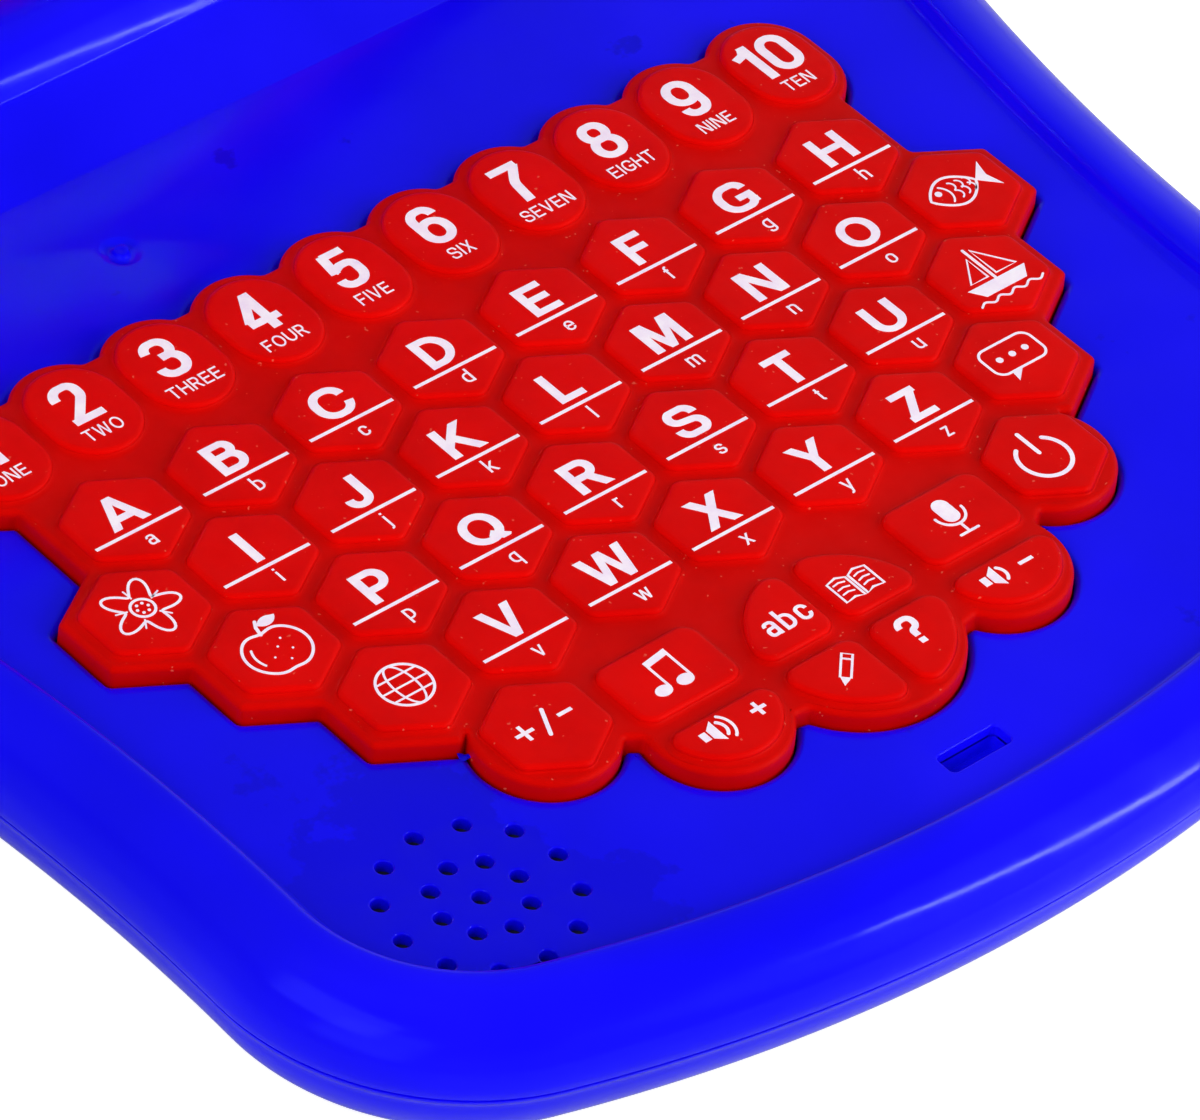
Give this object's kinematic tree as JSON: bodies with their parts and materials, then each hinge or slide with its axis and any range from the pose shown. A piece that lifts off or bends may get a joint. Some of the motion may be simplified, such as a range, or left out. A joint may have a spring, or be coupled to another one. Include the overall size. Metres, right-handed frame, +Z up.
{
  "type": "toy laptop computer",
  "caption": "Toy learning laptop with a hinged lid, soft hexagonal letter keys, number keys, a speaker grille, rubber feet and a battery compartment.",
  "frame": {"origin": "bottom centre of the box round the open laptop, on the table under its feet", "axes": "+Z up, -Y towards the user, +X to the user's right"},
  "size_m": [0.2424, 0.2887, 0.2115],
  "materials": {
    "blue_abs": "glossy injection moulded blue ABS",
    "red_abs": "glossy injection moulded red ABS",
    "red_silicone": "soft matt red silicone with printed signs",
    "board_green": "glass-fibre circuit board with solder mask",
    "black_epoxy": "matt black epoxy blob",
    "speaker_steel": "painted speaker basket and magnet",
    "cell_wrap": "wrapped dry cells",
    "plated_steel": "bright zinc plate",
    "black_rubber": "matt black rubber",
    "clear_plastic": "clear polystyrene sheet",
    "printed_card": "matt printed card"
  },
  "bodies": {
    "base": {"lower_case": "blue_abs", "upper_case": "blue_abs", "keypad_mat": "red_silicone", "key_board": "board_green", "sound_chip": "black_epoxy", "speaker": "speaker_steel", "batteries": "cell_wrap", "battery_contacts": "plated_steel", "case_screws": "plated_steel", "rubber_feet": "black_rubber", "hinge_pins": "plated_steel"},
    "door": {"battery_door": "blue_abs", "battery_door_screw": "plated_steel"},
    "lid": {"lid_shell": "blue_abs", "lid_frame": "red_abs", "lid_window": "clear_plastic", "picture_card": "printed_card", "lid_screws": "plated_steel"},
    "press_key_1": {"key_1": "red_silicone"},
    "press_key_2": {"key_2": "red_silicone"},
    "press_key_3": {"key_3": "red_silicone"},
    "press_key_4": {"key_4": "red_silicone"},
    "press_key_5": {"key_5": "red_silicone"},
    "press_key_6": {"key_6": "red_silicone"},
    "press_key_7": {"key_7": "red_silicone"},
    "press_key_8": {"key_8": "red_silicone"},
    "press_key_9": {"key_9": "red_silicone"},
    "press_key_10": {"key_10": "red_silicone"},
    "press_key_a": {"key_a": "red_silicone"},
    "press_key_b": {"key_b": "red_silicone"},
    "press_key_c": {"key_c": "red_silicone"},
    "press_key_d": {"key_d": "red_silicone"},
    "press_key_e": {"key_e": "red_silicone"},
    "press_key_f": {"key_f": "red_silicone"},
    "press_key_g": {"key_g": "red_silicone"},
    "press_key_h": {"key_h": "red_silicone"},
    "press_key_i": {"key_i": "red_silicone"},
    "press_key_j": {"key_j": "red_silicone"},
    "press_key_k": {"key_k": "red_silicone"},
    "press_key_l": {"key_l": "red_silicone"},
    "press_key_m": {"key_m": "red_silicone"},
    "press_key_n": {"key_n": "red_silicone"},
    "press_key_o": {"key_o": "red_silicone"},
    "press_key_p": {"key_p": "red_silicone"},
    "press_key_q": {"key_q": "red_silicone"},
    "press_key_r": {"key_r": "red_silicone"},
    "press_key_s": {"key_s": "red_silicone"},
    "press_key_t": {"key_t": "red_silicone"},
    "press_key_u": {"key_u": "red_silicone"},
    "press_key_v": {"key_v": "red_silicone"},
    "press_key_w": {"key_w": "red_silicone"},
    "press_key_x": {"key_x": "red_silicone"},
    "press_key_y": {"key_y": "red_silicone"},
    "press_key_z": {"key_z": "red_silicone"},
    "press_left_side_keys": {"left_side_keys": "red_silicone"},
    "press_right_side_keys": {"right_side_keys": "red_silicone"},
    "press_mode_keys": {"mode_keys": "red_silicone"},
    "press_volume_keys": {"volume_keys": "red_silicone"},
    "press_key_plus_minus": {"key_plus_minus": "red_silicone"},
    "press_key_power": {"key_power": "red_silicone"}
  },
  "joints": [
    {"name": "battery_door_lift", "type": "slide", "parent": "base", "child": "door", "axis": [0, 0, -1], "range_m": [0, 0.012]},
    {"name": "hinge_lid", "type": "hinge", "parent": "base", "child": "lid", "pos_m": [0, 0.05954, 0.0227], "axis": [1, 0, 0], "range_deg": [0, 110]},
    {"name": "press_key_1", "type": "slide", "parent": "base", "child": "press_key_1", "axis": [0, 0, -1], "range_m": [0, 0.001], "stiffness_N_per_m": 300, "springref_m": -0.001},
    {"name": "press_key_2", "type": "slide", "parent": "base", "child": "press_key_2", "axis": [0, 0, -1], "range_m": [0, 0.001], "stiffness_N_per_m": 300, "springref_m": -0.001},
    {"name": "press_key_3", "type": "slide", "parent": "base", "child": "press_key_3", "axis": [0, 0, -1], "range_m": [0, 0.001], "stiffness_N_per_m": 300, "springref_m": -0.001},
    {"name": "press_key_4", "type": "slide", "parent": "base", "child": "press_key_4", "axis": [0, 0, -1], "range_m": [0, 0.001], "stiffness_N_per_m": 300, "springref_m": -0.001},
    {"name": "press_key_5", "type": "slide", "parent": "base", "child": "press_key_5", "axis": [0, 0, -1], "range_m": [0, 0.001], "stiffness_N_per_m": 300, "springref_m": -0.001},
    {"name": "press_key_6", "type": "slide", "parent": "base", "child": "press_key_6", "axis": [0, 0, -1], "range_m": [0, 0.001], "stiffness_N_per_m": 300, "springref_m": -0.001},
    {"name": "press_key_7", "type": "slide", "parent": "base", "child": "press_key_7", "axis": [0, 0, -1], "range_m": [0, 0.001], "stiffness_N_per_m": 300, "springref_m": -0.001},
    {"name": "press_key_8", "type": "slide", "parent": "base", "child": "press_key_8", "axis": [0, 0, -1], "range_m": [0, 0.001], "stiffness_N_per_m": 300, "springref_m": -0.001},
    {"name": "press_key_9", "type": "slide", "parent": "base", "child": "press_key_9", "axis": [0, 0, -1], "range_m": [0, 0.001], "stiffness_N_per_m": 300, "springref_m": -0.001},
    {"name": "press_key_10", "type": "slide", "parent": "base", "child": "press_key_10", "axis": [0, 0, -1], "range_m": [0, 0.001], "stiffness_N_per_m": 300, "springref_m": -0.001},
    {"name": "press_key_a", "type": "slide", "parent": "base", "child": "press_key_a", "axis": [0, 0, -1], "range_m": [0, 0.001], "stiffness_N_per_m": 300, "springref_m": -0.001},
    {"name": "press_key_b", "type": "slide", "parent": "base", "child": "press_key_b", "axis": [0, 0, -1], "range_m": [0, 0.001], "stiffness_N_per_m": 300, "springref_m": -0.001},
    {"name": "press_key_c", "type": "slide", "parent": "base", "child": "press_key_c", "axis": [0, 0, -1], "range_m": [0, 0.001], "stiffness_N_per_m": 300, "springref_m": -0.001},
    {"name": "press_key_d", "type": "slide", "parent": "base", "child": "press_key_d", "axis": [0, 0, -1], "range_m": [0, 0.001], "stiffness_N_per_m": 300, "springref_m": -0.001},
    {"name": "press_key_e", "type": "slide", "parent": "base", "child": "press_key_e", "axis": [0, 0, -1], "range_m": [0, 0.001], "stiffness_N_per_m": 300, "springref_m": -0.001},
    {"name": "press_key_f", "type": "slide", "parent": "base", "child": "press_key_f", "axis": [0, 0, -1], "range_m": [0, 0.001], "stiffness_N_per_m": 300, "springref_m": -0.001},
    {"name": "press_key_g", "type": "slide", "parent": "base", "child": "press_key_g", "axis": [0, 0, -1], "range_m": [0, 0.001], "stiffness_N_per_m": 300, "springref_m": -0.001},
    {"name": "press_key_h", "type": "slide", "parent": "base", "child": "press_key_h", "axis": [0, 0, -1], "range_m": [0, 0.001], "stiffness_N_per_m": 300, "springref_m": -0.001},
    {"name": "press_key_i", "type": "slide", "parent": "base", "child": "press_key_i", "axis": [0, 0, -1], "range_m": [0, 0.001], "stiffness_N_per_m": 300, "springref_m": -0.001},
    {"name": "press_key_j", "type": "slide", "parent": "base", "child": "press_key_j", "axis": [0, 0, -1], "range_m": [0, 0.001], "stiffness_N_per_m": 300, "springref_m": -0.001},
    {"name": "press_key_k", "type": "slide", "parent": "base", "child": "press_key_k", "axis": [0, 0, -1], "range_m": [0, 0.001], "stiffness_N_per_m": 300, "springref_m": -0.001},
    {"name": "press_key_l", "type": "slide", "parent": "base", "child": "press_key_l", "axis": [0, 0, -1], "range_m": [0, 0.001], "stiffness_N_per_m": 300, "springref_m": -0.001},
    {"name": "press_key_m", "type": "slide", "parent": "base", "child": "press_key_m", "axis": [0, 0, -1], "range_m": [0, 0.001], "stiffness_N_per_m": 300, "springref_m": -0.001},
    {"name": "press_key_n", "type": "slide", "parent": "base", "child": "press_key_n", "axis": [0, 0, -1], "range_m": [0, 0.001], "stiffness_N_per_m": 300, "springref_m": -0.001},
    {"name": "press_key_o", "type": "slide", "parent": "base", "child": "press_key_o", "axis": [0, 0, -1], "range_m": [0, 0.001], "stiffness_N_per_m": 300, "springref_m": -0.001},
    {"name": "press_key_p", "type": "slide", "parent": "base", "child": "press_key_p", "axis": [0, 0, -1], "range_m": [0, 0.001], "stiffness_N_per_m": 300, "springref_m": -0.001},
    {"name": "press_key_q", "type": "slide", "parent": "base", "child": "press_key_q", "axis": [0, 0, -1], "range_m": [0, 0.001], "stiffness_N_per_m": 300, "springref_m": -0.001},
    {"name": "press_key_r", "type": "slide", "parent": "base", "child": "press_key_r", "axis": [0, 0, -1], "range_m": [0, 0.001], "stiffness_N_per_m": 300, "springref_m": -0.001},
    {"name": "press_key_s", "type": "slide", "parent": "base", "child": "press_key_s", "axis": [0, 0, -1], "range_m": [0, 0.001], "stiffness_N_per_m": 300, "springref_m": -0.001},
    {"name": "press_key_t", "type": "slide", "parent": "base", "child": "press_key_t", "axis": [0, 0, -1], "range_m": [0, 0.001], "stiffness_N_per_m": 300, "springref_m": -0.001},
    {"name": "press_key_u", "type": "slide", "parent": "base", "child": "press_key_u", "axis": [0, 0, -1], "range_m": [0, 0.001], "stiffness_N_per_m": 300, "springref_m": -0.001},
    {"name": "press_key_v", "type": "slide", "parent": "base", "child": "press_key_v", "axis": [0, 0, -1], "range_m": [0, 0.001], "stiffness_N_per_m": 300, "springref_m": -0.001},
    {"name": "press_key_w", "type": "slide", "parent": "base", "child": "press_key_w", "axis": [0, 0, -1], "range_m": [0, 0.001], "stiffness_N_per_m": 300, "springref_m": -0.001},
    {"name": "press_key_x", "type": "slide", "parent": "base", "child": "press_key_x", "axis": [0, 0, -1], "range_m": [0, 0.001], "stiffness_N_per_m": 300, "springref_m": -0.001},
    {"name": "press_key_y", "type": "slide", "parent": "base", "child": "press_key_y", "axis": [0, 0, -1], "range_m": [0, 0.001], "stiffness_N_per_m": 300, "springref_m": -0.001},
    {"name": "press_key_z", "type": "slide", "parent": "base", "child": "press_key_z", "axis": [0, 0, -1], "range_m": [0, 0.001], "stiffness_N_per_m": 300, "springref_m": -0.001},
    {"name": "press_left_side_keys", "type": "slide", "parent": "base", "child": "press_left_side_keys", "axis": [0, 0, -1], "range_m": [0, 0.001], "stiffness_N_per_m": 300, "springref_m": -0.001},
    {"name": "press_right_side_keys", "type": "slide", "parent": "base", "child": "press_right_side_keys", "axis": [0, 0, -1], "range_m": [0, 0.001], "stiffness_N_per_m": 300, "springref_m": -0.001},
    {"name": "press_mode_keys", "type": "slide", "parent": "base", "child": "press_mode_keys", "axis": [0, 0, -1], "range_m": [0, 0.001], "stiffness_N_per_m": 300, "springref_m": -0.001},
    {"name": "press_volume_keys", "type": "slide", "parent": "base", "child": "press_volume_keys", "axis": [0, 0, -1], "range_m": [0, 0.001], "stiffness_N_per_m": 300, "springref_m": -0.001},
    {"name": "press_key_plus_minus", "type": "slide", "parent": "base", "child": "press_key_plus_minus", "axis": [0, 0, -1], "range_m": [0, 0.001], "stiffness_N_per_m": 300, "springref_m": -0.001},
    {"name": "press_key_power", "type": "slide", "parent": "base", "child": "press_key_power", "axis": [0, 0, -1], "range_m": [0, 0.001], "stiffness_N_per_m": 300, "springref_m": -0.001}
  ]
}
